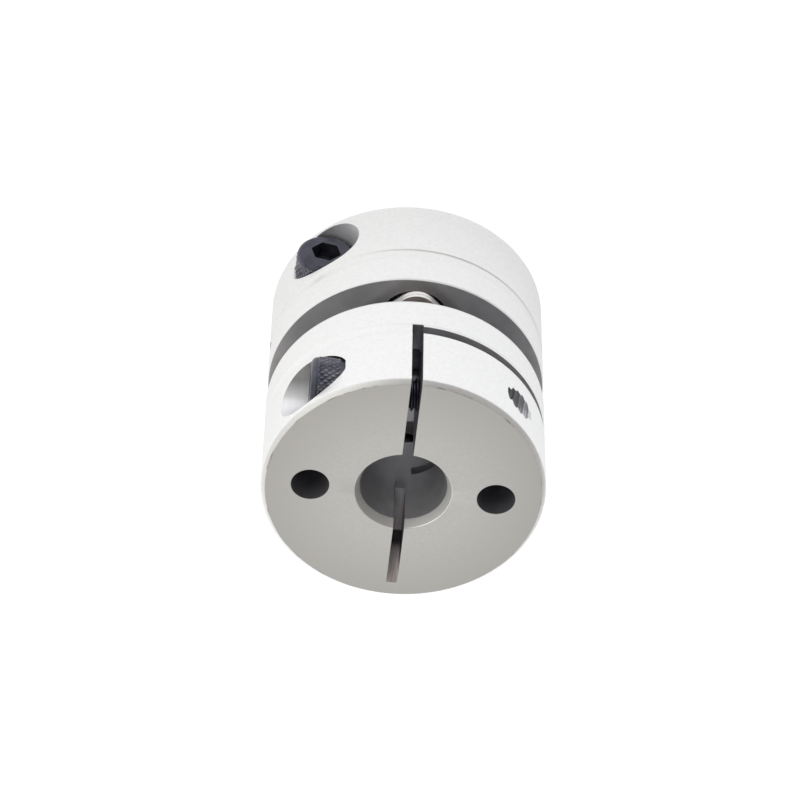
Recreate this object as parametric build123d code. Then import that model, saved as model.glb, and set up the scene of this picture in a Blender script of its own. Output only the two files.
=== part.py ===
from build123d import *
from math import sqrt
import os

# A single-disc flexible shaft coupling with two clamp hubs, standing on one end.
#
# Two identical aluminium hubs face each other across a gap. Each is slit so that one
# socket screw closes its bore on a shaft. A pack of thin square leaves lies in the gap.
# Two opposite corners of the pack are bolted to the upper hub and the other two to the
# lower hub, with a collar on each side of the pack, so the leaves can bend between the
# bolts. A bolt's head sits in a pocket of the opposite hub, and a hole through that hub
# lets a key reach it.
#
# Frame: +Z is the shaft axis, and the origin is the centre of the lower hub's end face.
# The upper hub's slit faces -Y and its clamp screw's head faces +X.

# ---- Driving dimensions, in millimetres ----

# Hub blank
hub_diameter = 26.0
bore_diameter = 8.0
outer_edge_chamfer = 0.4
inner_edge_chamfer = 0.2
bore_mouth_width = 0.42  # the countersink at the bore's outer end, on the radius
bore_mouth_depth = 0.85
flange_thickness = 3.6  # the solid end of the hub that the disc bolts screw into

# Socket head cap screws, M3, for the clamps and for the disc pack
screw_diameter = 3.0
screw_head_diameter = 5.5
screw_head_height = 3.0
screw_head_chamfer = 0.3
socket_across_flats = 2.5
socket_depth = 1.6
thread_clearance = 0.05  # tapped holes are cut this much over the screw
clamp_screw_length = 12.0
disc_bolt_length = 6.0

# Clamp screw's place in the hub
screw_hole_clearance = 0.4  # through hole over the screw, on the head's side
head_pocket_clearance = 0.3  # pocket over the head, on the diameter
clamp_bore_wall = 2.8  # metal between the bore and the screw's through hole
clamp_end_wall = 0.75  # metal between the head pocket and the outer face
clamp_head_sink = 0.5  # the head's end lies this far under the rim, on the screw's axis

# Slit that lets the bore close, cut by a disc saw
slit_width = 1.0
saw_diameter = 60.0
saw_offset = 9.65  # the saw's centre lies this far from the shaft, on the clamp's side
slit_past_slot = 0.35  # the slit's deepest point lies this far below the cross slot

# Cross slot that frees one jaw from the flange, cut by a larger disc saw from the side
cross_slot_width = 1.0
jaw_wall = 0.5  # metal between the head pocket and the cross slot
cross_saw_diameter = 80.0
cross_saw_reach = 0.3  # the saw goes this far past the slit's middle plane
cross_saw_offset = 6.3  # the saw's centre lies this far from the shaft, on the clamp's side

# Disc pack
leaf_count = 4
leaf_thickness = 0.2
leaf_corner_radius = 2.0
leaf_rim_inset = 0.4  # the corners stop this far inside the hub's rim
leaf_shaft_clearance = 1.5  # leaf's centre hole over the bore, on the radius
leaf_bolt_clearance = 0.1
collar_diameter = 5.5
collar_length = 1.2

# Pockets for the disc bolts' heads in the opposite hub, and the key holes behind them
bolt_pocket_clearance = 0.8
bolt_pocket_rim_wall = 1.35  # metal between a pocket and the hub's rim
bolt_head_room = 1.2
bolt_tip_room = 1.2
key_hole_diameter = 3.5

# ---- Sizes that follow ----

hub_radius = hub_diameter / 2
bore_radius = bore_diameter / 2
screw_radius = screw_diameter / 2
tapped_radius = (screw_diameter + thread_clearance) / 2

# Clamp screw
screw_hole_radius = (screw_diameter + screw_hole_clearance) / 2
head_pocket_radius = (screw_head_diameter + head_pocket_clearance) / 2
clamp_offset = bore_radius + clamp_bore_wall + screw_hole_radius
clamp_depth = clamp_end_wall + head_pocket_radius
clamp_seat = sqrt(hub_radius**2 - clamp_offset**2) - clamp_head_sink - screw_head_height

# Hub along its axis, measured from the outer face
jaw_length = clamp_depth + head_pocket_radius + jaw_wall
slit_depth = jaw_length + cross_slot_width + slit_past_slot
hub_length = jaw_length + cross_slot_width + flange_thickness

# Disc pack and its bolts
pack_thickness = leaf_count * leaf_thickness
hub_gap = pack_thickness + 2 * collar_length
coupling_length = 2 * hub_length + hub_gap
upper_inner_face = coupling_length - hub_length
pack_bottom = hub_length + collar_length
pack_top = pack_bottom + pack_thickness
bolt_pocket_radius = (screw_head_diameter + bolt_pocket_clearance) / 2
bolt_circle_radius = hub_radius - bolt_pocket_rim_wall - bolt_pocket_radius
bolt_engagement = disc_bolt_length - hub_gap

half_turn_axis = Axis((0, 0, coupling_length / 2), (1, -1, 0))


def cylinder_along(axis, radius, start, end):
    """A round cutter along +X or +Z of its own frame, from start to end."""
    tool = Pos(0, 0, start) * Cylinder(radius, end - start, align=(Align.CENTER, Align.CENTER, Align.MIN))
    return tool if axis == "Z" else Rot(0, 90, 0) * tool


def hub_blank():
    """The upper hub as it leaves the lathe, bored and chamfered."""
    top = coupling_length
    bottom = upper_inner_face
    section = Polyline(
        (bore_radius + bore_mouth_width, 0, top),
        (hub_radius - outer_edge_chamfer, 0, top),
        (hub_radius, 0, top - outer_edge_chamfer),
        (hub_radius, 0, bottom + inner_edge_chamfer),
        (hub_radius - inner_edge_chamfer, 0, bottom),
        (bore_radius, 0, bottom),
        (bore_radius, 0, top - bore_mouth_depth),
        close=True,
    )
    return revolve(make_face(section), Axis.Z)


def slit():
    """The slitting saw, sunk into the hub from its outer face.

    It opens the rim at -Y and the bore. On the far side its curve runs out of the outer
    face before the rim, and what is left of the wall there is the clamp's hinge.
    """
    saw_radius = saw_diameter / 2
    saw = Rot(0, 90, 0) * Cylinder(saw_radius, slit_width)
    return Pos(0, -saw_offset, coupling_length - slit_depth + saw_radius) * saw


def cross_slot():
    """The slot from the -X side that frees that half of the clamp from the flange.

    The saw breaks into the slit at the front. Behind the bore its round edge curves away
    from the slit, which leaves a wider hinge.
    """
    slot_floor = coupling_length - jaw_length - cross_slot_width
    saw_radius = cross_saw_diameter / 2
    saw = Cylinder(saw_radius, cross_slot_width, align=(Align.MAX, Align.CENTER, Align.MIN))
    return Pos(cross_saw_reach, -cross_saw_offset, slot_floor) * saw


def clamp_screw_holes():
    """Head pocket, through hole and tapped hole, in line across the slit."""
    holes = cylinder_along("X", head_pocket_radius, clamp_seat, hub_diameter)
    holes += cylinder_along("X", screw_hole_radius, 0, clamp_seat)
    holes += cylinder_along("X", tapped_radius, -hub_diameter, 0)
    return Pos(0, -clamp_offset, coupling_length - clamp_depth) * holes


def disc_bolt_holes():
    """Tapped holes at -Y and +Y, and head pockets with key holes at -X and +X."""
    face = upper_inner_face
    tapped = cylinder_along("Z", tapped_radius, face, face + bolt_engagement + bolt_tip_room)
    pocket = cylinder_along("Z", bolt_pocket_radius, face, face + screw_head_height + bolt_head_room)
    pocket += cylinder_along("Z", key_hole_diameter / 2, face, coupling_length)
    holes = []
    for side in (-1, 1):
        holes.append(Pos(0, side * bolt_circle_radius, 0) * tapped)
        holes.append(Pos(side * bolt_circle_radius, 0, 0) * pocket)
    return holes


def clamp_hub():
    """The upper hub."""
    return hub_blank() - [slit(), cross_slot(), clamp_screw_holes(), *disc_bolt_holes()]


def socket_screw(length):
    """A socket head cap screw along Z, with its head on z = 0 and its tip below."""
    head = cylinder_along("Z", screw_head_diameter / 2, 0, screw_head_height)
    head = chamfer(head.edges().group_by(Axis.Z)[-1], screw_head_chamfer)
    shank = cylinder_along("Z", screw_radius, -length, 0)
    hexagon = RegularPolygon(socket_across_flats / 2, 6, major_radius=False)
    socket = Pos(0, 0, screw_head_height - socket_depth) * extrude(hexagon, socket_depth)
    return head + shank - socket


def clamp_screw():
    """The upper hub's clamp screw: its head faces +X and it crosses the slit."""
    place = Pos(clamp_seat, -clamp_offset, coupling_length - clamp_depth)
    return place * Rot(0, 90, 0) * socket_screw(clamp_screw_length)


def disc_bolt():
    """A bolt up through the pack, with its head on the lower hub's inner face plane."""
    return Pos(0, 0, hub_length) * Rot(180, 0, 0) * socket_screw(disc_bolt_length)


def collar():
    """A spacer ring on z = 0, between a corner of the pack and what holds it."""
    ring = cylinder_along("Z", collar_diameter / 2, 0, collar_length)
    return ring - cylinder_along("Z", tapped_radius, 0, collar_length)


def leaf(number):
    """One square leaf of the pack, its corners on the X and Y axes, counted from below."""
    reach = hub_radius - leaf_rim_inset - leaf_corner_radius
    side = 2 * (reach / sqrt(2) + leaf_corner_radius)
    plate = Rot(0, 0, 45) * RectangleRounded(side, side, leaf_corner_radius)
    plate -= Circle(bore_radius + leaf_shaft_clearance)
    bolt_hole = Circle((screw_diameter + leaf_bolt_clearance) / 2)
    plate -= PolarLocations(bolt_circle_radius, 4) * bolt_hole
    return Pos(0, 0, pack_bottom + number * leaf_thickness) * extrude(plate, leaf_thickness)


def upper_pieces():
    """Everything that is fixed to the upper hub, the hub included."""
    pieces = {"hub": clamp_hub(), "clamp_screw": clamp_screw()}
    for number, side in ((1, -1), (2, 1)):
        place = Pos(0, side * bolt_circle_radius, 0)
        pieces[f"disc_bolt_{number}"] = place * disc_bolt()
        pieces[f"hub_collar_{number}"] = place * Pos(0, 0, pack_top) * collar()
        pieces[f"head_collar_{number}"] = place * Pos(0, 0, hub_length) * collar()
    return pieces


def coupling():
    """All pieces by name. The lower end is the upper end, turned half round."""
    pieces = {}
    for name, piece in upper_pieces().items():
        pieces[f"upper_{name}"] = piece
        pieces[f"lower_{name}"] = piece.rotate(half_turn_axis, 180)
    for number in range(leaf_count):
        pieces[f"disc_leaf_{number + 1}"] = leaf(number)
    return pieces


os.makedirs("parts", exist_ok=True)
for name, piece in coupling().items():
    export_step(piece, f"parts/{name}.step")
print(f"coupling {hub_diameter:g} mm across, {coupling_length:g} mm long, hubs {hub_length:g} mm")
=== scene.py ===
# %% [markdown]
# # A disc coupling, dressed
#
# The object is a small flexible shaft coupling: two slit aluminium clamp hubs, a pack of
# spring steel leaves between them, and the screws that hold it all. Its solid model comes
# in as a fixed frame. This lesson remodels each piece with the fine forms that a solid
# model leaves out, such as threads, knurling and broken edges, then gives each metal its
# finish, and last sets the light and the camera.

# %% Load the frame
import bpy
import bmesh
from math import cos, pi, radians, sin, sqrt
from mathutils import Matrix, Quaternion, Vector


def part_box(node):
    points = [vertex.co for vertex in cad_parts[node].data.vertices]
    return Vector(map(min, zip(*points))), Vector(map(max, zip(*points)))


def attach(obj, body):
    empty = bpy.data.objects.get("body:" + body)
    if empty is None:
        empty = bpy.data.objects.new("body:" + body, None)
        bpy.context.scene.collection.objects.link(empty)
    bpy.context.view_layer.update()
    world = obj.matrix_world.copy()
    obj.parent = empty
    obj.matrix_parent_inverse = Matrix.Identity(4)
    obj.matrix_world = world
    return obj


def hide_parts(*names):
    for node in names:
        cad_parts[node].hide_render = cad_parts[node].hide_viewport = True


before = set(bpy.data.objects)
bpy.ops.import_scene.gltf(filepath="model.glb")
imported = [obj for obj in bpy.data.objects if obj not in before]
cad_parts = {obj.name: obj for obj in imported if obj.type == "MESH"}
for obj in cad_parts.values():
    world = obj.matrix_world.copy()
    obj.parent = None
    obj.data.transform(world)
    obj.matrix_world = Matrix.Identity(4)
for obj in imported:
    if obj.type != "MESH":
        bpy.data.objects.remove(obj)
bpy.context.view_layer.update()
print("solid pieces:", len(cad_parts))

# %% [markdown]
# ## Sizes
#
# Everything is in metres, and a small machine part is easier to think of in millimetres,
# so one value turns one into the other. The outer sizes are read from the frame, so the
# dressed pieces follow the solid ones. The finer sizes are those that a drawing of the
# hub would give.

# %% Sizes of the hubs
mm = 0.001
hair = 0.001 * mm
hub_low, hub_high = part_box("upper_hub")
coupling_length = hub_high.z
inner_face = hub_low.z
hub_radius = hub_high.x
hub_length = coupling_length - inner_face
bore_radius = 4.0 * mm
outer_chamfer = 0.4 * mm
rim_rounding = 0.1 * mm
inner_chamfer = 0.2 * mm
inner_lead = 0.08 * mm
mouth_width = 0.42 * mm
mouth_depth = 0.85 * mm
mouth_rounding = 0.06 * mm
slit_width = 1.0 * mm
slot_top = coupling_length - 7.05 * mm
slot_width = 1.0 * mm
slit_floor = slot_top - slot_width - 0.35 * mm
print(f"hub {hub_radius * 2 / mm:.1f} mm across and {hub_length / mm:.2f} mm long")

# %% [markdown]
# The screws are socket head cap screws with an M3 thread. Where they seat and how long
# they are follows from the boxes of the solid ones.

# %% Sizes and places of the screws
screw_radius = 1.5 * mm
thread_pitch = 0.5 * mm
thread_depth = 0.29 * mm
head_radius = 2.75 * mm
head_height = 3.0 * mm
screw_low, screw_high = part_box("upper_clamp_screw")
clamp_seat = screw_high.x - head_height
clamp_offset = -(screw_low.y + screw_high.y) / 2
clamp_height = (screw_low.z + screw_high.z) / 2
clamp_length = clamp_seat - screw_low.x
bolt_low, bolt_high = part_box("upper_disc_bolt_2")
bolt_circle = (bolt_low.y + bolt_high.y) / 2
bolt_length = bolt_high.z - bolt_low.z - head_height
print(f"clamp screw M3 x {clamp_length / mm:.0f}, disc bolts M3 x {bolt_length / mm:.0f}")

# %% [markdown]
# ## Helpers
#
# Blender's operators act on whatever is selected, and the frame comes in selected, so
# every step starts from nothing selected. In edit mode, faces and edges are picked by
# where they are, as a modeller does by eye.

# %% Select and edit


def select_only(piece):
    """Leaves nothing but this piece selected, and makes it the active one."""
    bpy.ops.object.select_all(action="DESELECT")
    piece.select_set(True)
    bpy.context.view_layer.objects.active = piece


def edit(piece):
    """Opens a piece in edit mode with nothing selected in it."""
    select_only(piece)
    bpy.ops.object.mode_set(mode="EDIT")
    bpy.ops.mesh.select_all(action="DESELECT")


def done():
    """Goes back to object mode."""
    bpy.ops.object.mode_set(mode="OBJECT")


def pick(kind, test):
    """In edit mode, selects only the VERT, EDGE or FACE elements for which test is true."""
    bpy.ops.mesh.select_mode(type=kind)
    bpy.ops.mesh.select_all(action="DESELECT")
    data = bpy.context.object.data
    mesh = bmesh.from_edit_mesh(data)
    elements = {"VERT": mesh.verts, "EDGE": mesh.edges, "FACE": mesh.faces}[kind]
    for element in elements:
        element.select_set(test(element))
    mesh.select_flush_mode()
    bmesh.update_edit_mesh(data)


# %% [markdown]
# Most of the forms here are turned, so most edges worth picking are circles about the
# axis. A circle is found by its height and radius, and then bevelled or made wider.

# %% Circles about the axis


def level(edge):
    """The height of an edge that lies flat, and None for one that doesn't."""
    low, high = sorted(vert.co.z for vert in edge.verts)
    return (low + high) / 2 if high - low < hair else None


def ring_at(height, radius, slack=0.02 * mm):
    """A test for the edges of the circle about Z with this height and radius."""

    def test(edge):
        edge_height = level(edge)
        if edge_height is None or abs(edge_height - height) > slack:
            return False
        return all(abs(vert.co.xy.length - radius) < slack for vert in edge.verts)

    return test


def bevel_ring(height, radius, width, segments=1):
    """In edit mode, bevels a circle about Z."""
    pick("EDGE", ring_at(height, radius))
    bpy.ops.mesh.bevel(offset=width, segments=segments)


def widen_ring(height, radius, new_radius):
    """In edit mode, scales a circle about Z to a new radius."""
    pick("EDGE", ring_at(height, radius))
    bpy.ops.transform.resize(value=(new_radius / radius, new_radius / radius, 1))


def bore_out(outer_radius, radius):
    """In edit mode, bores a cylinder: its ends are inset, and the insets are bridged."""
    pick("FACE", lambda face: abs(face.normal.z) > 0.9)
    bpy.ops.mesh.inset(thickness=outer_radius - radius, use_individual=True)
    bpy.ops.mesh.bridge_edge_loops()


def slice_flat(height, normal=(0, 0, 1), **settings):
    """In edit mode, cuts the whole mesh along a level plane."""
    bpy.ops.mesh.select_all(action="SELECT")
    bpy.ops.mesh.bisect(plane_co=(0, 0, height), plane_no=normal, threshold=hair / 100, **settings)


# %% [markdown]
# A piece starts from a primitive at its size and place. Tools are pieces too: a Boolean
# modifier takes them out, and leaves their metal on the walls that they cut. A thin bevel
# on the sharp edges then catches the light, as on a deburred part.

# %% Make, cut, join and smooth


def settle(piece, name):
    """Bakes a piece's place and turn into its mesh, and names it."""
    select_only(piece)
    bpy.ops.object.transform_apply(location=True, rotation=True, scale=True)
    piece.name = name
    piece.data.name = name
    return piece


def cylinder(name, sides, radius, low, high, turn=0.0):
    """A cylinder along Z, from low to high."""
    bpy.ops.object.select_all(action="DESELECT")
    bpy.ops.mesh.primitive_cylinder_add(
        vertices=sides,
        radius=radius,
        depth=high - low,
        location=(0, 0, (low + high) / 2),
        rotation=(0, 0, turn),
    )
    return settle(bpy.context.object, name)


def made_of(piece, *metals):
    """Gives a piece these metals and no others, and gives the piece."""
    piece.data.materials.clear()
    for metal in metals:
        piece.data.materials.append(metal)
    return piece


def moved(piece, x=0.0, y=0.0, z=0.0):
    """Moves a piece's mesh, and gives the piece."""
    piece.data.transform(Matrix.Translation((x, y, z)))
    return piece


def placed_copy(piece, name, place):
    """A copy with its own mesh, moved by a matrix that is baked into it."""
    copy = piece.copy()
    copy.data = piece.data.copy()
    bpy.context.scene.collection.objects.link(copy)
    copy.data.transform(place)
    copy.name = name
    copy.data.name = name
    return copy


def modify(piece, kind, **settings):
    """Gives a piece a modifier with its settings, and bakes it in."""
    select_only(piece)
    modifier = piece.modifiers.new(kind, kind)
    for name, value in settings.items():
        setattr(modifier, name, value)
    bpy.ops.object.modifier_apply(modifier=modifier.name)


def combine(piece, tool, operation="DIFFERENCE"):
    """Cuts a tool out of a piece, or welds it on, and takes the tool away."""
    modify(piece, "BOOLEAN", object=tool, operation=operation, solver="EXACT", material_mode="TRANSFER")
    bpy.data.objects.remove(tool)


def weld(piece, distance=2 * hair):
    """Merges points that lie on each other, and turns the faces outwards."""
    edit(piece)
    bpy.ops.mesh.select_all(action="SELECT")
    bpy.ops.mesh.remove_doubles(threshold=distance)
    bpy.ops.mesh.normals_make_consistent(inside=False)
    done()
    return piece


def break_edges(piece, width, segments=2, angle=35):
    """Rounds the edges that are sharper than an angle, as deburring does."""
    modify(
        piece,
        "BEVEL",
        width=width,
        segments=segments,
        limit_method="ANGLE",
        angle_limit=radians(angle),
        use_clamp_overlap=False,
        miter_outer="MITER_ARC",
    )


def smooth(piece, angle):
    """Shades a piece smooth, with its large faces left flat and its sharp edges sharp."""
    select_only(piece)
    bpy.ops.object.shade_smooth_by_angle(angle=radians(angle))
    modify(piece, "WEIGHTED_NORMAL", keep_sharp=True)


# %% [markdown]
# A finished piece rides on the coupling's one body and replaces its solid. It has to be
# closed, so the edges that don't join two faces are counted each time, and there should
# be none.

# %% Hand a piece over


def stand_in(piece, node):
    """The piece rides on the root body and takes the place of a solid of the frame."""
    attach(piece, "root")
    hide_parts(node)
    mesh = bmesh.new()
    mesh.from_mesh(piece.data)
    open_edges = sum(not edge.is_manifold for edge in mesh.edges)
    print(f"{piece.name}: {len(mesh.faces)} faces, {open_edges} open edges")
    mesh.free()


# %% [markdown]
# The lower end of the coupling is the upper end turned half round about a level line, so
# that its slit comes a quarter turn away. One matrix says that for all of its pieces, and
# another lays a piece that stands along Z down along X.

# %% The turns
middle_point = Vector((0, 0, coupling_length / 2))
half_turn = (
    Matrix.Translation(middle_point)
    @ Matrix.Rotation(pi, 4, Vector((1, -1, 0)))
    @ Matrix.Translation(-middle_point)
)
lay_down = Matrix.Rotation(pi / 2, 4, "Y")
print("the upper end face goes to", half_turn @ Vector((0, 0, coupling_length)))

# %% [markdown]
# ## Materials
#
# The four metals are told apart by colour, by how sharp their reflections are, and by
# grain. Nodes that turn up again and again get helpers, so each metal's own function
# stays short.

# %% Node helpers


def add_node(tree, kind, **settings):
    """A node with its plain settings given by name."""
    node = tree.nodes.new(kind)
    for name, value in settings.items():
        setattr(node, name, value)
    return node


def feed(node, socket, source):
    """Gives a socket a number or a colour, or links another socket to it."""
    target = node.inputs[socket]
    if isinstance(source, bpy.types.NodeSocket):
        node.id_data.links.new(source, target)
    elif target.type == "RGBA":
        target.default_value = (*source, 1.0)
    else:
        target.default_value = source


def math(tree, operation, first, second=0.0, clamp=False):
    """A Math node's result."""
    node = add_node(tree, "ShaderNodeMath", operation=operation, use_clamp=clamp)
    feed(node, 0, first)
    feed(node, 1, second)
    return node.outputs[0]


def vector_math(tree, operation, output, first, second=(0.0, 0.0, 0.0)):
    """A Vector Math node's Vector or Value."""
    node = add_node(tree, "ShaderNodeVectorMath", operation=operation)
    feed(node, 0, first)
    feed(node, 1, second)
    return node.outputs[output]


def by_axis(tree, vector):
    """The X, Y and Z of a vector, by name."""
    node = add_node(tree, "ShaderNodeSeparateXYZ")
    feed(node, 0, vector)
    return node.outputs


def ramp(tree, value, low, high, to_low=0.0, to_high=1.0, smooth_ends=False):
    """Maps a value from low..high to another range, and holds it at the ends."""
    kind = "SMOOTHSTEP" if smooth_ends else "LINEAR"
    node = add_node(tree, "ShaderNodeMapRange", interpolation_type=kind)
    feed(node, "Value", value)
    feed(node, "From Min", low)
    feed(node, "From Max", high)
    feed(node, "To Min", to_low)
    feed(node, "To Max", to_high)
    return node.outputs[0]


def noise(tree, place, scale, detail):
    """A cloudy value about 0.5, with spots 1 / scale metres across."""
    node = add_node(tree, "ShaderNodeTexNoise")
    feed(node, "Vector", place)
    feed(node, "Scale", scale)
    feed(node, "Detail", detail)
    return node.outputs[0]


def blend(tree, factor, first, second):
    """A mix of two colours."""
    node = add_node(tree, "ShaderNodeMix", data_type="RGBA")
    feed(node, "Factor", factor)
    feed(node, 6, first)
    feed(node, 7, second)
    return node.outputs[2]


# %% [markdown]
# An effect that several metals share is a node group: a little box of nodes with named
# sockets, built once and set again in each metal.

# %% Make and place groups


def new_group(name, values, results):
    """An empty node group with its sockets, and its two end nodes."""
    group = bpy.data.node_groups.new(name, "ShaderNodeTree")
    group.interface.new_socket("Coordinates", in_out="INPUT", socket_type="NodeSocketVector")
    for socket, value in values.items():
        made = group.interface.new_socket(socket, in_out="INPUT", socket_type="NodeSocketFloat")
        made.default_value = value
    for socket in results:
        group.interface.new_socket(socket, in_out="OUTPUT", socket_type="NodeSocketFloat")
    return group, add_node(group, "NodeGroupInput").outputs, add_node(group, "NodeGroupOutput")


def place_group(tree, group, coordinates, **values):
    """Puts a group into a material with its values, and gives its outputs."""
    node = add_node(tree, "ShaderNodeGroup", node_tree=group)
    feed(node, "Coordinates", coordinates)
    for name, value in values.items():
        feed(node, name.replace("_", " ").capitalize(), value)
    return node.outputs


# %% [markdown]
# Blasting leaves fine pits all over, and handling leaves broad, very faint clouds. Both
# are noise, read at two scales: the fine one goes to a bump, the broad one to the colour.

# %% Grain and mottling group


def grain_group():
    """Fine pits as a height, and broad clouds as a mask from 0 to 1."""
    values = {"Grain scale": 9000.0, "Cloud scale": 260.0}
    group, start, end = new_group("metal_grain", values, ("Height", "Clouds"))
    pits = noise(group, start["Coordinates"], start["Grain scale"], 3.0)
    clouds = noise(group, start["Coordinates"], start["Cloud scale"], 4.0)
    feed(end, "Height", pits)
    feed(end, "Clouds", ramp(group, clouds, 0.35, 0.65))
    return group


grain = grain_group()
print("group", grain.name, "has", len(grain.nodes), "nodes")

# %% [markdown]
# A turned end gets knocked along its rim, and the knocks hold a little dirt. They are a
# thin ring round the edge of the end face, broken up by noise, so that only dashes stay.
# The end face also has painted shade, greying a little from the bore towards the rim.

# %% End nicks and painted shade group
painted_shade_start = 1.5 * bore_radius
knocks_scale = 520.0


def end_nicks_and_shade_group():
    """Two masks from the distance to the shaft axis: dashes on the rim, and painted shade towards the rim.
    """
    values = {"Edge radius": 10.0 * mm, "Edge width": 0.08 * mm}
    group, start, end = new_group("end_nicks_and_shade", values, ("Nicks", "Painted shade"))
    flat = vector_math(group, "MULTIPLY", "Vector", start["Coordinates"], (1.0, 1.0, 0.0))
    distance = vector_math(group, "LENGTH", "Value", flat)
    off_edge = math(group, "ABSOLUTE", math(group, "SUBTRACT", distance, start["Edge radius"]))
    off_edge = math(group, "DIVIDE", off_edge, start["Edge width"])
    ring = math(group, "SUBTRACT", 1.0, off_edge, clamp=True)
    knocks = noise(group, start["Coordinates"], knocks_scale, 5.0)
    dashes = ramp(group, knocks, 0.55, 0.68)
    feed(end, "Nicks", math(group, "MULTIPLY", ring, dashes))
    # Painted shade that greys the end face from the bore towards the rim.
    outward = ramp(group, distance, painted_shade_start, start["Edge radius"])
    on_face = math(group, "LESS_THAN", distance, start["Edge radius"])
    feed(end, "Painted shade", math(group, "MULTIPLY", outward, on_face))
    return group


end_nicks_and_shade = end_nicks_and_shade_group()
print("group", end_nicks_and_shade.name, "has", len(end_nicks_and_shade.nodes), "nodes")

# %% [markdown]
# Every metal is a Principled shader with a colour and a bump fed to it. Most patterns
# read Object coordinates. Tool marks in a hub read an attribute called drawn, which holds
# each point's place before the lower hub was turned, so both hubs show the same marks.

# %% Start and finish a metal


def new_metal(name, metallic, roughness):
    """A material and its node tree, with the shader's plain values set."""
    material = bpy.data.materials.new(name)
    material.use_nodes = True
    tree = material.node_tree
    shader = tree.nodes["Principled BSDF"]
    feed(shader, "Metallic", metallic)
    feed(shader, "Roughness", roughness)
    return material, tree


def object_place(tree):
    """The Object coordinates."""
    return add_node(tree, "ShaderNodeTexCoord").outputs["Object"]


def attribute(tree, name, output):
    """A value or a vector that the mesh carries at each point."""
    return add_node(tree, "ShaderNodeAttribute", attribute_name=name).outputs[output]


def stretched(tree, place, scale, turn=0.0):
    """Coordinates turned about Z and scaled, which draws a pattern out into lines."""
    node = add_node(tree, "ShaderNodeMapping")
    feed(node, "Vector", place)
    feed(node, "Rotation", (0.0, 0.0, turn))
    feed(node, "Scale", scale)
    return node.outputs[0]


def lay_on(tree, colour, height, depth, strength):
    """Gives the shader its colour, and a bump from a height."""
    shader = tree.nodes["Principled BSDF"]
    feed(shader, "Base Color", colour)
    bump = add_node(tree, "ShaderNodeBump")
    feed(bump, "Height", height)
    feed(bump, "Distance", depth)
    feed(bump, "Strength", strength)
    feed(shader, "Normal", bump.outputs["Normal"])


# %% [markdown]
# The hubs are clear anodised aluminium, blasted to an even satin. It is nearly white in
# even light, and its reflections are so blurred that it shades almost like paper.

# %% Anodised aluminium


def anodised_aluminium():
    """Satin, nearly white, with a fine even grain."""
    material, tree = new_metal("anodised_finish", 0.6, 0.42)
    place = object_place(tree)
    look = place_group(tree, grain, place, grain_scale=11000.0, cloud_scale=3200.0)
    colour = blend(tree, look["Clouds"], (0.880, 0.880, 0.876), (0.925, 0.925, 0.92))
    ends = place_group(tree, end_nicks_and_shade, place, edge_radius=hub_radius - outer_chamfer)
    # Painted shade greys the end face towards the rim.
    colour = blend(tree, ends["Painted shade"], colour, (0.76, 0.755, 0.745))
    colour = blend(tree, ends["Nicks"], colour, (0.28, 0.25, 0.22))
    lay_on(tree, colour, look["Height"], 0.004 * mm, 0.6)
    return material


hub_metal = anodised_aluminium()
print("made", hub_metal.name)

# %% [markdown]
# Blasting doesn't reach into the bore, the drilled holes and the cross slot. The tool's
# own finish stays there under the anodising. It is greyer and more like bare metal, so it
# mirrors the dark inside. The bore's countersink is paler, and the small round where it
# meets the end face is rubbed bright.

# %% Cut aluminium


def bored_aluminium(name, metallic, roughness, dark, light):
    """A smoother skin, faintly mottled between two greys."""
    material, tree = new_metal(name, metallic, roughness)
    look = place_group(tree, grain, object_place(tree), grain_scale=6000.0, cloud_scale=400.0)
    colour = blend(tree, look["Clouds"], dark, light)
    lay_on(tree, colour, look["Height"], 0.004 * mm, 0.4)
    return material


bored_metal = bored_aluminium("bored_finish", 0.7, 0.42, (0.57, 0.57, 0.59), (0.66, 0.66, 0.68))
drilled_metal = bored_aluminium("drilled_finish", 0.8, 0.4, (0.40, 0.40, 0.44), (0.50, 0.50, 0.54))
faced_metal = bored_aluminium("faced_finish", 0.7, 0.42, (0.56, 0.56, 0.58), (0.65, 0.65, 0.67))
mouth_metal = bored_aluminium("countersunk_finish", 0.3, 0.5, (0.70, 0.70, 0.69), (0.76, 0.76, 0.75))
edge_metal = bored_aluminium("deburred_finish", 1.0, 0.25, (0.93, 0.92, 0.89), (0.97, 0.96, 0.93))
for metal in (bored_metal, drilled_metal, faced_metal, mouth_metal, edge_metal):
    print("made", metal.name)

# %% [markdown]
# An end mill plunges the pocket for the screw's head and leaves fine rings round its
# wall, so the grain is squeezed along the pocket. The wall is bright, with painted shade
# that darkens it along the side nearest to the flange.

# %% Milled aluminium
pocket_shade_low = clamp_height - 2.9 * mm
pocket_shade_high = clamp_height - 2.0 * mm


def milled_aluminium():
    """The head pockets' walls, painted from shaded to bright with height."""
    material, tree = new_metal("milled_finish", 0.75, 0.4)
    drawn = attribute(tree, "drawn", "Vector")
    marks = stretched(tree, drawn, (12.0, 1.0, 1.0))
    look = place_group(tree, grain, marks, grain_scale=700.0, cloud_scale=170.0)
    deep = blend(tree, look["Clouds"], (0.47, 0.46, 0.45), (0.56, 0.55, 0.54))
    clean = blend(tree, look["Clouds"], (0.88, 0.88, 0.89), (0.95, 0.95, 0.97))
    # Painted shade: the wall is darker low down, towards the flange, and bright higher up.
    shade_to_light = ramp(tree, by_axis(tree, drawn)["Z"], pocket_shade_low, pocket_shade_high, smooth_ends=True)
    lay_on(tree, blend(tree, shade_to_light, deep, clean), look["Height"], 0.02 * mm, 0.5)
    return material


pocket_metal = milled_aluminium()
print("made", pocket_metal.name)

# %% [markdown]
# The slitting saw leaves bare metal, darker than the blasted skin, with long scratches on
# the slit's floor along its travel. Behind the bore that floor is painted paler and warmer,
# as painted light, with a black band of painted shadow where it first rises. The saw
# carries this metal with it into the hub.

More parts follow.
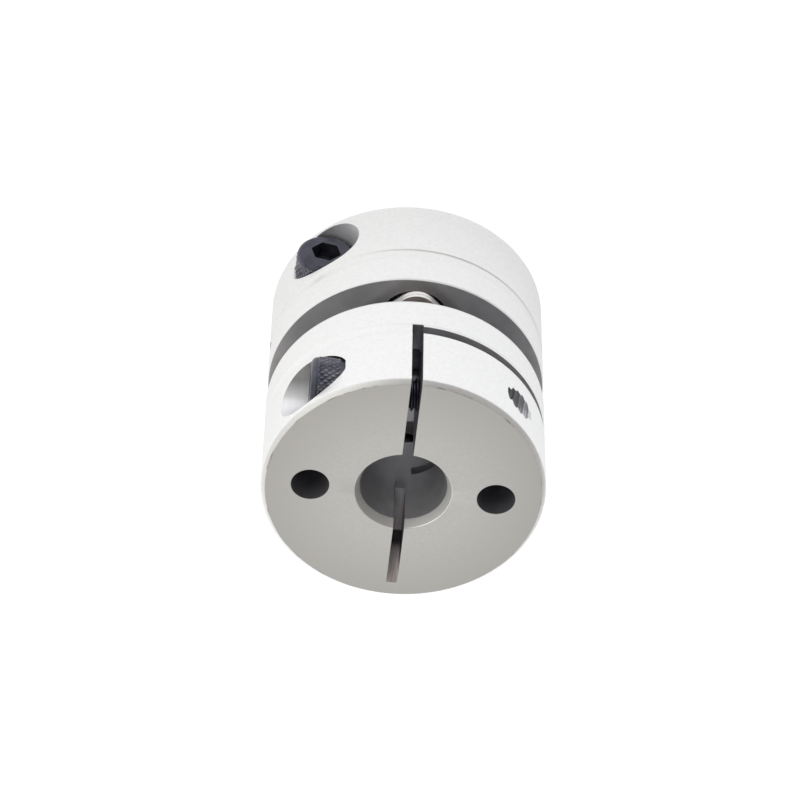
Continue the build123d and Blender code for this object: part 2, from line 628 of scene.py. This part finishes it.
# %% Sawn aluminium
floor_half_width = slit_width / 2.02
lit_floor_start = 2.0 * mm
lit_floor_end = 9.0 * mm
shadow_band_start = 7.4 * mm
shadow_band_edge = 0.1 * mm
shadow_band_end = 9.0 * mm
shadow_band_strength = 0.9


def painted_shadow_band(tree, back):
    """A band of painted shadow: a mask that starts sharply, and fades out."""
    starts = ramp(tree, back, shadow_band_start - shadow_band_edge, shadow_band_start)
    middle = (shadow_band_start + shadow_band_end) / 2
    fades = ramp(tree, back, middle, shadow_band_end, shadow_band_strength, 0.0, smooth_ends=True)
    return math(tree, "MULTIPLY", starts, fades)


def sawn_aluminium():
    """Bare, darker walls, and a scratched floor painted paler towards the back, with a band of painted
    shadow.
    """
    material, tree = new_metal("sawn_finish", 0.85, 0.4)
    drawn = attribute(tree, "drawn", "Vector")
    scratches = stretched(tree, drawn, (14.0, 1.0, 1.0))
    look = place_group(tree, grain, scratches, grain_scale=1100.0, cloud_scale=240.0)
    walls = blend(tree, look["Clouds"], (0.42, 0.42, 0.46), (0.58, 0.58, 0.63))
    floor = blend(tree, look["Clouds"], (0.56, 0.50, 0.49), (0.88, 0.80, 0.78))
    place = by_axis(tree, drawn)
    off_wall = math(tree, "LESS_THAN", math(tree, "ABSOLUTE", place["X"]), floor_half_width)
    # Painted light: the floor turns from the walls' grey to paler and warmer towards the back.
    back = ramp(tree, place["Y"], lit_floor_start, lit_floor_end)
    colour = blend(tree, math(tree, "MULTIPLY", off_wall, back), walls, floor)
    # A black band of painted shadow on the floor, where it first rises behind the bore.
    colour = blend(tree, painted_shadow_band(tree, place["Y"]), colour, (0.012, 0.011, 0.014))
    lay_on(tree, colour, look["Height"], 0.02 * mm, 0.7)
    return material


sawn_metal = sawn_aluminium()
print("made", sawn_metal.name)

# %% [markdown]
# Black oxide is a thin dark skin on steel, blue-black and slightly glossy with oil. Where
# the knurling is handled it wears through, and the bottom of the socket is painted lighter
# as painted light. Both carry an attribute for wear and painted light, which this material reads.

# %% Black oxide steel


def black_oxide_steel():
    """Blue-black, with bare steel in patches where it is worn, and painted light at the socket's bottom."""
    material, tree = new_metal("black_oxide_finish", 0.75, 0.32)
    look = place_group(tree, grain, object_place(tree), grain_scale=7000.0, cloud_scale=900.0)
    skin = blend(tree, look["Clouds"], (0.056, 0.058, 0.078), (0.088, 0.090, 0.118))
    # The attribute holds the worn knurl tips and the painted light at the bottom of the socket.
    patchy = math(tree, "MULTIPLY", attribute(tree, "wear_and_painted_light", "Fac"), look["Clouds"])
    colour = blend(tree, patchy, skin, (0.30, 0.30, 0.33))
    lay_on(tree, colour, look["Height"], 0.006 * mm, 0.5)
    return material


black_steel = black_oxide_steel()
print("made", black_steel.name)

# %% [markdown]
# The collars are turned from bright steel, and the leaves are punched from polished
# spring steel, which mirrors the dark gap round it. Its faces are painted darker and
# browner as painted shade, and its cut edge paler as painted light.

# %% Bright steel and spring steel


def bright_steel():
    """Clean turned steel with a very fine grain."""
    material, tree = new_metal("bright_finish", 1.0, 0.28)
    look = place_group(tree, grain, object_place(tree), grain_scale=5000.0, cloud_scale=500.0)
    colour = blend(tree, look["Clouds"], (0.56, 0.55, 0.54), (0.64, 0.63, 0.61))
    lay_on(tree, colour, look["Height"], 0.003 * mm, 0.4)
    return material


def spring_steel(name, roughness, dark, light):
    """Strip with a straight grain, polished nearly to a mirror."""
    material, tree = new_metal(name, 1.0, roughness)
    rolled = stretched(tree, object_place(tree), (1.0, 16.0, 1.0), turn=pi / 4)
    look = place_group(tree, grain, rolled, grain_scale=1200.0, cloud_scale=150.0)
    colour = blend(tree, look["Clouds"], dark, light)
    lay_on(tree, colour, look["Height"], 0.002 * mm, 0.4)
    return material


collar_metal = bright_steel()
# Painted shade on the leaf's faces and painted light on its cut edge, from one spring steel.
leaf_face_shaded_metal = spring_steel("spring_face_painted_shade", 0.2, (0.52, 0.45, 0.42), (0.60, 0.52, 0.49))
leaf_edge_lit_metal = spring_steel("spring_edge_painted_light", 0.3, (0.75, 0.73, 0.71), (0.81, 0.79, 0.77))
print("made", collar_metal.name, leaf_face_shaded_metal.name, "and", leaf_edge_lit_metal.name)

# %% [markdown]
# ## Screw threads
#
# A thread is one V-shaped profile wound up along an axis. A plane merged to one point and
# drawn out from corner to corner gives the profile, and the Screw modifier winds it. Two
# bisecting planes then cut the ends off square and close them. The same function makes
# the thread of a screw and, a little narrower, the tool that cuts the thread in the hub.

# %% A length of thread
thread_steps = 40
flat_share = 0.18
spare_turns = 2


def thread_profile(root_radius, depth, name):
    """One turn's profile: a crest between two slopes, with half a root at each end."""
    half_pitch = thread_pitch / 2
    half_flat = flat_share * half_pitch
    slope = half_pitch - 2 * half_flat
    steps = ((0, half_flat), (depth, slope), (0, 2 * half_flat), (-depth, slope), (0, half_flat))
    bpy.ops.object.select_all(action="DESELECT")
    bpy.ops.mesh.primitive_plane_add(size=mm, location=(root_radius, 0, -half_pitch))
    rod = settle(bpy.context.object, name)
    edit(rod)
    pick("VERT", lambda vert: True)
    bpy.ops.mesh.merge(type="CENTER")
    for out, up in steps:
        bpy.ops.mesh.extrude_vertices_move(TRANSFORM_OT_translate={"value": (out, 0, up)})
    done()
    return rod


def thread(crest_radius, low, high, name, depth=thread_depth):
    """A closed threaded rod along Z, from low to high."""
    rod = thread_profile(crest_radius - depth, depth, name)
    modify(
        moved(rod, z=low - spare_turns * thread_pitch),
        "SCREW",
        axis="Z",
        screw_offset=thread_pitch,
        iterations=round((high - low) / thread_pitch) + 2 * spare_turns,
        steps=thread_steps,
        render_steps=thread_steps,
        use_merge_vertices=True,
        merge_threshold=hair,
    )
    weld(rod)
    for height, normal in ((low, (0, 0, -1)), (high, (0, 0, 1))):
        edit(rod)
        slice_flat(height, normal, use_fill=True, clear_outer=True)
        done()
    return weld(rod)


# %% [markdown]
# ## Socket screws
#
# A socket head cap screw has a head with diamond knurling, a smooth rounded rim, a
# six-sided socket with a slightly pointed bottom, and a threaded shank. The knurling is
# made from the grid of faces round the head: poking each face gives it a middle point,
# dissolving the old grid leaves diamonds that stand on their tips, and poking those
# raises them. The new points are the ones that wear bright.

# %% The knurling
knurl_rows = 3
knurl_height = 0.09 * mm
knurl_low = 0.35 * mm
knurl_high = 2.38 * mm


def knurl(head):
    """Raises diamonds on the side of the head, marks their tips as worn and counts them."""
    edit(head)
    for step in range(knurl_rows + 1):
        slice_flat(knurl_low + step * (knurl_high - knurl_low) / knurl_rows)

    def on_band(face):
        middle = face.calc_center_median()
        return knurl_low < middle.z < knurl_high and abs(face.normal.z) < 0.1

    def ends(edge):
        return tuple(sorted(vert.index for vert in edge.verts))

    pick("FACE", on_band)
    mesh = bmesh.from_edit_mesh(head.data)
    inner = [edge for edge in mesh.edges if sum(face.select for face in edge.link_faces) == 2]
    old_grid = {ends(edge) for edge in inner}
    bpy.ops.mesh.poke(offset=0.0)
    pick("EDGE", lambda edge: ends(edge) in old_grid)
    bpy.ops.mesh.dissolve_edges(use_verts=False)
    pick("FACE", on_band)
    before = len(bmesh.from_edit_mesh(head.data).verts)
    bpy.ops.mesh.poke(offset=knurl_height)
    done()
    wear_and_painted_light = head.data.attributes.new("wear_and_painted_light", "FLOAT", "POINT")
    wear_and_painted_light.data.foreach_set("value", [float(index >= before) for index in range(len(head.data.vertices))])
    return len(head.data.vertices) - before


# %% [markdown]
# The head starts a little thinner than the real one, because the diamonds stand proud of
# it. A six-sided punch makes the socket, and a length of thread is welded on as the shank.

# %% The whole screw
head_sides = 32
core_radius = head_radius - 0.8 * knurl_height
rim_radius = 0.55 * mm
seat_rounding = 0.12 * mm
socket_corner = 2.5 * mm / sqrt(3)
socket_turn = radians(46)
socket_depth = 1.6 * mm
socket_point = 0.08 * mm
socket_floor = head_height - socket_depth
floor_slack = 0.1 * mm
socket_floor_light = 0.55
shank_overlap = 0.2 * mm


def socket_punch():
    """A six-sided punch with a pointed end, which stands in the socket."""
    punch = cylinder("punch", 6, socket_corner, socket_floor, head_height + socket_depth, socket_turn)
    edit(punch)
    pick("FACE", lambda face: face.normal.z < -0.9)
    bpy.ops.mesh.extrude_region_move(TRANSFORM_OT_translate={"value": (0, 0, -socket_point)})
    bpy.ops.mesh.merge(type="CENTER")
    done()
    return punch


def light_socket_floor(screw):
    """Gives the points at the bottom of the socket painted light, in the attribute that also marks wear."""
    wear_and_painted_light = screw.data.attributes["wear_and_painted_light"]
    for vert in screw.data.vertices:
        # Painted light on the bottom of the socket.
        near_floor = abs(vert.co.z - socket_floor) < floor_slack
        if near_floor and vert.co.xy.length < screw_radius:
            wear_and_painted_light.data[vert.index].value = socket_floor_light


def socket_screw(length, name):
    """A cap screw along Z, with its head on z = 0 and its thread below."""
    screw = cylinder(name, head_sides, core_radius, 0, head_height)
    edit(screw)
    bevel_ring(head_height, core_radius, rim_radius, 5)
    bevel_ring(0, core_radius, seat_rounding, 2)
    done()
    tips = knurl(screw)
    combine(screw, socket_punch())
    combine(screw, thread(screw_radius, -length, shank_overlap, "shank"), "UNION")
    weld(screw)
    light_socket_floor(screw)
    smooth(made_of(screw, black_steel), 32)
    print(f"{name}: {tips} worn tips, {len(screw.data.polygons)} faces")
    return screw


clamp_screw = socket_screw(clamp_length, "clamp_screw")
disc_bolt = socket_screw(bolt_length, "disc_bolt")

# %% [markdown]
# The models lie at the origin. Each copy gets a matrix that carries it to its seat, and
# the lower end's screws get the half turn as well. The clamp screw goes in from the +X
# side, and the disc bolts come up from below.

# %% Place the screws


def place_screws():
    """Copies the screws to their seats in both ends."""
    seat = Matrix.Translation((clamp_seat, -clamp_offset, clamp_height)) @ lay_down
    places = {"clamp_screw": (clamp_screw, seat)}
    for number, side in ((1, -1), (2, 1)):
        seat = Matrix.Translation((0, side * bolt_circle, hub_length)) @ Matrix.Rotation(pi, 4, "X")
        places[f"disc_bolt_{number}"] = (disc_bolt, seat)
    for name, (model, place) in places.items():
        for end, turn in (("upper", Matrix.Identity(4)), ("lower", half_turn)):
            piece = placed_copy(model, f"{end}_{name}_dressed", turn @ place)
            stand_in(piece, f"{end}_{name}")
    bpy.data.objects.remove(clamp_screw)
    bpy.data.objects.remove(disc_bolt)


place_screws()

# %% [markdown]
# ## Clamp hubs
#
# A hub starts on the lathe, so it starts here as a cylinder. It is bored, and bevels cut
# its chamfers. The bore's mouth is opened to a countersink, whose edge gets a small round.

# %% The turned blank
blank_sides = 192
groove_low = slot_top - slot_width - 0.25 * mm
groove_high = slot_top + 0.05 * mm


def turned_blank():
    """The upper hub's ring with its edges cut, sliced where forms will change."""
    blank = cylinder("hub", blank_sides, hub_radius, inner_face, coupling_length)
    edit(made_of(blank, hub_metal, bored_metal, faced_metal, mouth_metal, edge_metal))
    bore_out(hub_radius, bore_radius)
    bevel_ring(coupling_length, hub_radius, outer_chamfer)
    bevel_ring(coupling_length - outer_chamfer, hub_radius, rim_rounding, 3)
    bevel_ring(inner_face, hub_radius, inner_chamfer)
    widen_ring(inner_face, hub_radius - inner_chamfer, hub_radius - inner_lead)
    for height in (coupling_length - mouth_depth, groove_high, groove_low):
        slice_flat(height)
    widen_ring(coupling_length, bore_radius, bore_radius + mouth_width)
    bevel_ring(coupling_length, bore_radius + mouth_width, mouth_rounding, 3)
    done()
    return blank


hub = turned_blank()
print("blank:", len(hub.data.polygons), "faces")

# %% [markdown]
# The cross slot lies in a shallow turned groove, whose top shows as a fine line round the
# hub. A band of faces is pushed inwards, and then both its edges are moved, so that one
# side slopes in with a fillet and the other runs out thinly.

# %% The groove
groove_depth = 0.14 * mm
groove_slope = 0.14 * mm
groove_fillet = 0.14 * mm
groove_tail = 0.06 * mm
groove_tail_slope = 0.15 * mm


def turn_groove(blank):
    """Pushes a band of the rim inwards and slopes its two sides."""

    def in_groove(face):
        middle = face.calc_center_median()
        return groove_low < middle.z < groove_high and middle.xy.length > hub_radius / 2

    edit(blank)
    pick("FACE", in_groove)
    bpy.ops.mesh.extrude_region_shrink_fatten(TRANSFORM_OT_shrink_fatten={"value": -groove_depth})
    pick("EDGE", ring_at(groove_high, hub_radius - groove_depth))
    bpy.ops.transform.translate(value=(0, 0, -groove_slope))
    bpy.ops.mesh.bevel(offset=groove_fillet, segments=2)
    widen_ring(groove_low, hub_radius - groove_depth, hub_radius - groove_tail)
    bpy.ops.transform.translate(value=(0, 0, groove_tail_slope))
    done()


turn_groove(hub)
print(f"groove {groove_depth / mm:g} mm deep")

# %% [markdown]
# The bore, its mouth and the inner face are cut clean after the blank is blasted. Their
# faces are picked by how far they lie from the bore's wall, or by the way they face.

# %% Metals of the blank
countersink_start = 0.1 * mm
round_start = 0.3 * mm


def paint(piece, metal, test):
    """In edit mode, gives the faces for which test is true one of the piece's metals."""
    pick("FACE", test)
    piece.active_material_index = piece.data.materials.find(metal.name)
    bpy.ops.object.material_slot_assign()


def paint_blank(blank):
    """Gives the bore, its mouth and the inner face their own metals."""

    def off_bore(face):
        return face.calc_center_median().xy.length - bore_radius

    def in_countersink(face):
        return countersink_start < off_bore(face) < round_start and face.normal.z > 0.1

    edit(blank)
    paint(blank, bored_metal, lambda face: off_bore(face) < 10 * hair)
    paint(blank, mouth_metal, in_countersink)
    paint(blank, edge_metal, lambda face: round_start < off_bore(face) < mouth_width + mouth_rounding)
    paint(blank, faced_metal, lambda face: face.normal.z < -0.9 and face.calc_center_median().z < slit_floor)
    done()


paint_blank(hub)
weld(hub)
print("metals of the blank:", [metal.name for metal in hub.data.materials])

# %% [markdown]
# The slitting saw is a disc that is sunk into the end of the hub, so its round edge leaves
# a curved floor on the far side of the bore. A larger disc cuts the cross slot from the
# -X side, and breaks into the slit. Both tools are plain thin cylinders.

# %% The saws
saw_sides = 512
saw_radius = 30.0 * mm
saw_offset = 9.65 * mm
cross_saw_radius = 40.0 * mm
cross_saw_reach = 0.3 * mm
cross_saw_offset = 6.3 * mm


def drill(radius, low, high, metal, sides=72):
    """A round tool along Z, made of one metal."""
    return made_of(cylinder("drill", sides, radius, low, high), metal)


def slitting_saw():
    """The saw that is sunk into the hub's end."""
    saw = drill(saw_radius, -slit_width / 2, slit_width / 2, sawn_metal, saw_sides)
    saw.data.transform(lay_down)
    return moved(saw, y=-saw_offset, z=slit_floor + saw_radius)


def cross_saw():
    """The larger saw that cuts the cross slot, from the -X side into the slit."""
    saw = drill(cross_saw_radius, slot_top - slot_width, slot_top, faced_metal, saw_sides)
    return moved(saw, x=cross_saw_reach - cross_saw_radius, y=-cross_saw_offset)


combine(hub, slitting_saw())
combine(hub, cross_saw())
print("slit and cross slot cut:", len(hub.data.polygons), "faces")

# %% [markdown]
# The clamp screw's holes lie in one line across the slit: a pocket for the head, a clear
# hole up to the slit, and a tapped hole beyond it. The disc bolts need pockets, key holes
# and tapped holes along the axis. A tool starts outside the metal, or inside an earlier
# cut, because a Boolean cuts badly where two faces lie in one plane.

# %% Drill the holes
pocket_radius = 2.9 * mm
clear_radius = 1.7 * mm
tap_radius = 1.43 * mm
tap_depth = 0.21 * mm
tapped_radius = 1.525 * mm
disc_pocket_radius = 3.15 * mm
disc_pocket_depth = 4.2 * mm
disc_hole_depth = 4.0 * mm
key_hole_radius = 1.75 * mm
run_out = 1.0 * mm
overlap = 0.1 * mm
past_rim = 14.0 * mm


def across(tool):
    """Lays a tool that stands along Z on the clamp screw's line, pointing to +X."""
    tool.data.transform(lay_down)
    return moved(tool, y=-clamp_offset, z=clamp_height)


def drill_hub():
    """Cuts every hole."""
    combine(hub, across(drill(pocket_radius, clamp_seat, past_rim, pocket_metal)))
    combine(hub, across(drill(clear_radius, 0, clamp_seat + overlap, bored_metal)))
    tap = thread(tap_radius, -past_rim, 0, "tap", tap_depth)
    combine(hub, across(made_of(tap, bored_metal)))
    below = inner_face - run_out
    for place in (-bolt_circle, bolt_circle):
        pocket = drill(disc_pocket_radius, below, inner_face + disc_pocket_depth, bored_metal)
        combine(hub, moved(pocket, x=place))
        key_hole = drill(key_hole_radius, inner_face, coupling_length + run_out, drilled_metal)
        combine(hub, moved(key_hole, x=place))
        tapped = drill(tapped_radius, below, inner_face + disc_hole_depth, bored_metal)
        combine(hub, moved(tapped, y=place))


drill_hub()
print("holes drilled:", len(hub.data.polygons), "faces")

# %% [markdown]
# Deburring comes last, as on the bench. The points of the finished hub are then written
# down as the drawn attribute, and the lower hub is a turned copy that keeps them.

# %% Deburr the hub and copy it
hub_break = 0.03 * mm

weld(hub, 15 * hair)
break_edges(hub, hub_break, angle=24)
smooth(hub, 20)
drawn = hub.data.attributes.new("drawn", "FLOAT_VECTOR", "POINT")
drawn.data.foreach_set("vector", [value for vert in hub.data.vertices for value in vert.co])
lower_hub = placed_copy(hub, "lower_hub_dressed", half_turn)
hub.name = "upper_hub_dressed"
stand_in(hub, "upper_hub")
stand_in(lower_hub, "lower_hub")

# %% [markdown]
# ## Collars
#
# Eight turned collars hold the pack away from the hubs and from the bolt heads. One ring
# is bored, its edges are broken, and it is copied to each place.

# %% Turn and place the collars
collar_low, collar_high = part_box("upper_hub_collar_2")
collar_radius = (collar_high.x - collar_low.x) / 2
collar_length = collar_high.z - collar_low.z
collar_sides = 72
collar_break = 0.08 * mm


def turned_collar():
    """A collar on z = 0 about the origin."""
    ring = cylinder("collar", collar_sides, collar_radius, 0, collar_length)
    edit(ring)
    bore_out(collar_radius, tapped_radius)
    done()
    weld(ring)
    break_edges(ring, collar_break, 3)
    smooth(made_of(ring, collar_metal), 40)
    return ring


def place_collars():
    """Eight copies, found from the solids that they stand for."""
    ring = turned_collar()
    for node in sorted(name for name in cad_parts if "collar" in name):
        low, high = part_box(node)
        seat = Matrix.Translation(((low.x + high.x) / 2, (low.y + high.y) / 2, low.z))
        stand_in(placed_copy(ring, f"{node}_dressed", seat), node)
    bpy.data.objects.remove(ring)


place_collars()

# %% [markdown]
# ## Disc pack
#
# A leaf is punched from strip. The punch rolls the edge over on one side and leaves it
# sharp on the other, and the leaves are stacked in pairs, sharp sides together. So the
# edge of the pack shows as two bright bands with a fine shadow between them.

# %% Punch a leaf
leaf_low, leaf_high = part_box("disc_leaf_1")
leaf_thickness = leaf_high.z - leaf_low.z
leaf_corner = 2.0 * mm
leaf_side = 2 * ((leaf_high.x - leaf_corner) / sqrt(2) + leaf_corner)
leaf_bore = 5.5 * mm
leaf_hole = 1.55 * mm
rolled_edge = 0.05 * mm


def leaf_plate():
    """A square plate centred on the origin, with rounded corners on the X and Y axes."""
    bpy.ops.object.select_all(action="DESELECT")
    bpy.ops.mesh.primitive_cube_add(size=1, scale=(leaf_side, leaf_side, leaf_thickness))
    plate = settle(bpy.context.object, "leaf")
    edit(plate)
    pick("EDGE", lambda edge: level(edge) is None)
    bpy.ops.mesh.bevel(offset=leaf_corner, segments=16)
    done()
    plate.data.transform(Matrix.Rotation(pi / 4, 4, "Z"))
    return plate


def punched_leaf():
    """A leaf with its five holes, its rolled edge on top and its cut edge painted bright."""

    def outline(edge):
        height = level(edge)
        upright = [abs(face.normal.z) < 0.5 for face in edge.link_faces]
        return height is not None and abs(height - leaf_thickness / 2) < 10 * hair and any(upright)

    leaf = leaf_plate()
    combine(leaf, drill(leaf_bore, -run_out, run_out, leaf_face_shaded_metal, 96))
    for x, y in ((1, 0), (-1, 0), (0, 1), (0, -1)):
        punch = drill(leaf_hole, -run_out, run_out, leaf_face_shaded_metal, 48)
        combine(leaf, moved(punch, x=x * bolt_circle, y=y * bolt_circle))
    weld(leaf)
    edit(leaf)
    pick("EDGE", outline)
    bpy.ops.mesh.bevel(offset=rolled_edge, segments=3)
    done()
    edit(made_of(leaf, leaf_face_shaded_metal, leaf_edge_lit_metal))
    paint(leaf, leaf_edge_lit_metal, lambda face: abs(face.normal.z) < 0.95)
    done()
    smooth(leaf, 40)
    return leaf


# %% [markdown]
# Turning every other leaf over brings the sharp sides together in pairs.

# %% Stack the leaves


def stack_leaves():
    """Four copies. The first and third lie with their rolled edge down."""
    leaf = punched_leaf()
    for number in (1, 2, 3, 4):
        node = f"disc_leaf_{number}"
        low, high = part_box(node)
        seat = Matrix.Translation((0, 0, (low.z + high.z) / 2))
        turn = Matrix.Rotation(pi, 4, "X") if number % 2 else Matrix.Identity(4)
        stand_in(placed_copy(leaf, f"{node}_dressed", seat @ turn), node)
    bpy.data.objects.remove(leaf)


stack_leaves()

# %% [markdown]
# ## Stage, light and camera
#
# The floor is matt, so that it takes a soft shadow, and it glows a little, so that it is
# white without more light on the metal. The Light Path node tells the camera's rays from
# all others, which see the glow weaken towards the coupling, as a painted shadow round it.
# That keeps the metal near the floor from being lit too brightly from below.

# %% White floor
floor_size = 3.0
floor_glow = 1.39
seen_share = 0.68
far_share = 0.79
shadowed_glow_share = 0.43
painted_shadow_centre = (5.0 * mm, 11.4 * mm, 0.0)
painted_shadow_radius = 17.0 * mm
painted_shadow_edge = 46.0 * mm


def glow_share(tree):
    """How much of the floor glows: one value to the camera, and to other rays a ramp with a painted shadow
    round the coupling.
    """
    off_centre = vector_math(tree, "DISTANCE", "Value", object_place(tree), painted_shadow_centre)
    share = add_node(tree, "ShaderNodeMix")
    feed(share, "Factor", add_node(tree, "ShaderNodeLightPath").outputs["Is Camera Ray"])
    # Painted shadow: to rays other than the camera's, the glow dips near the coupling.
    feed(share, 2, ramp(tree, off_centre, painted_shadow_radius, painted_shadow_edge, shadowed_glow_share, far_share))
    feed(share, 3, seen_share)
    return share.outputs[0]


def mix_shaders(tree, share, first, second, output):
    """Mixes two shader nodes by a share, and links them to a new output node."""
    mix = add_node(tree, "ShaderNodeMixShader")
    feed(mix, "Fac", share)
    feed(mix, 1, first.outputs[0])
    feed(mix, 2, second.outputs[0])
    feed(add_node(tree, output), 0, mix.outputs[0])


def white_floor():
    """A matt floor, lifted to white by its glow."""
    bpy.ops.object.select_all(action="DESELECT")
    bpy.ops.mesh.primitive_plane_add(size=floor_size)
    floor = bpy.context.object
    floor.name = "studio_floor"
    material = bpy.data.materials.new("studio_floor")
    material.use_nodes = True
    tree = material.node_tree
    tree.nodes.clear()
    matt = add_node(tree, "ShaderNodeBsdfDiffuse")
    feed(matt, "Color", (0.9, 0.9, 0.9))
    glow = add_node(tree, "ShaderNodeEmission")
    feed(glow, "Color", (0.975, 0.985, 1.0))
    feed(glow, "Strength", floor_glow)
    mix_shaders(tree, glow_share(tree), matt, glow, "ShaderNodeOutputMaterial")
    floor.data.materials.append(material)


white_floor()
print("floor", floor_size, "m across")

# %% [markdown]
# Bright metal only looks like metal when it also mirrors something dark, so a studio
# hangs a black card near the camera. Here it is a dark patch of the sky. The camera sees
# a plain white sky, and the metal is lit by a soft grey one with the card in it.

# %% Sky
side_reach = 0.7
low_sky_top = 0.6
low_sky_shade = 0.1
back_light = 0.25
card_tilt = radians(32)
card_spread = radians(34)


def sky_colour(tree):
    """A warm grey, lighter on the +X side and at the back, with a dark card in front."""
    direction = add_node(tree, "ShaderNodeTexCoord").outputs["Generated"]
    sides = by_axis(tree, direction)
    across_sky = ramp(tree, sides["X"], -side_reach, side_reach, smooth_ends=True)
    colour = blend(tree, across_sky, (0.325, 0.315, 0.30), (0.75, 0.73, 0.685))
    low_down = ramp(tree, sides["Z"], 0.0, low_sky_top, low_sky_shade, 0.0)
    colour = blend(tree, low_down, colour, (0.0, 0.0, 0.0))
    behind = ramp(tree, sides["Y"], 0.0, 1.0, 0.0, back_light)
    colour = blend(tree, behind, colour, (0.90, 0.89, 0.87))
    card_middle = (0.0, -sin(card_tilt), cos(card_tilt))
    nearness = vector_math(tree, "DOT_PRODUCT", "Value", direction, card_middle)
    card = ramp(tree, nearness, cos(card_spread), cos(card_spread / 2), smooth_ends=True)
    return blend(tree, card, colour, (0.06, 0.06, 0.065))


def soft_sky():
    """White to the camera, and grey with a dark card to all else."""
    world = bpy.data.worlds.new("studio_sky")
    world.use_nodes = True
    tree = world.node_tree
    tree.nodes.clear()
    grey = add_node(tree, "ShaderNodeBackground")
    feed(grey, "Color", sky_colour(tree))
    white = add_node(tree, "ShaderNodeBackground")
    feed(white, "Color", (1.0, 1.0, 1.0))
    seen = add_node(tree, "ShaderNodeLightPath").outputs["Is Camera Ray"]
    mix_shaders(tree, seen, grey, white, "ShaderNodeOutputWorld")
    bpy.context.scene.world = world


soft_sky()
print("sky:", bpy.context.scene.world.name)

# %% [markdown]
# One weak soft box stands at the front, on the +X side, so that the chamfers turn from
# light to dark round the rim.

# %% Soft box


def soft_box(name, direction, distance, size, brightness):
    """A square lamp that looks at the coupling's middle from a direction."""
    data = bpy.data.lights.new(name, "AREA")
    data.shape = "SQUARE"
    data.size = size
    data.energy = brightness * pi * size**2
    lamp = bpy.data.objects.new(name, data)
    bpy.context.scene.collection.objects.link(lamp)
    toward = Vector(direction).normalized()
    lamp.location = middle_point + toward * distance
    lamp.rotation_euler = toward.to_track_quat("Z", "Y").to_euler()
    return lamp


front_box = soft_box("front_box", (0.64, -0.54, 0.55), distance=0.6, size=0.75, brightness=0.35)
print(f"{front_box.name}: {front_box.data.size:g} m across, {front_box.data.energy:.2f} W")

# %% [markdown]
# The camera looks down on the upper end with a long lens, and is rolled half round, so
# that the end nearest to it is at the bottom of the picture.

# %% Camera
camera_aim = Vector((0.47 * mm, 0.08 * mm, 13.28 * mm))
camera_distance = 317.6 * mm
camera_elevation = radians(50.58)
camera_side = radians(4.54)
camera_roll = radians(181.25)
camera_lens = 152.1


def aim_camera():
    """Sets the camera on its ray from the aim, and rolls it about that ray."""
    data = bpy.data.cameras.new("camera")
    data.lens = camera_lens
    data.clip_start = 0.01
    camera = bpy.data.objects.new("camera", data)
    bpy.context.scene.collection.objects.link(camera)
    flat = cos(camera_elevation)
    ray = Vector((flat * sin(camera_side), -flat * cos(camera_side), sin(camera_elevation)))
    camera.location = camera_aim + ray * camera_distance
    turn = ray.to_track_quat("Z", "Y") @ Quaternion((0, 0, 1), camera_roll)
    camera.rotation_euler = turn.to_euler()
    bpy.context.scene.camera = camera
    return camera


print("camera at", aim_camera().location)
bpy.context.scene.view_settings.view_transform = "Standard"
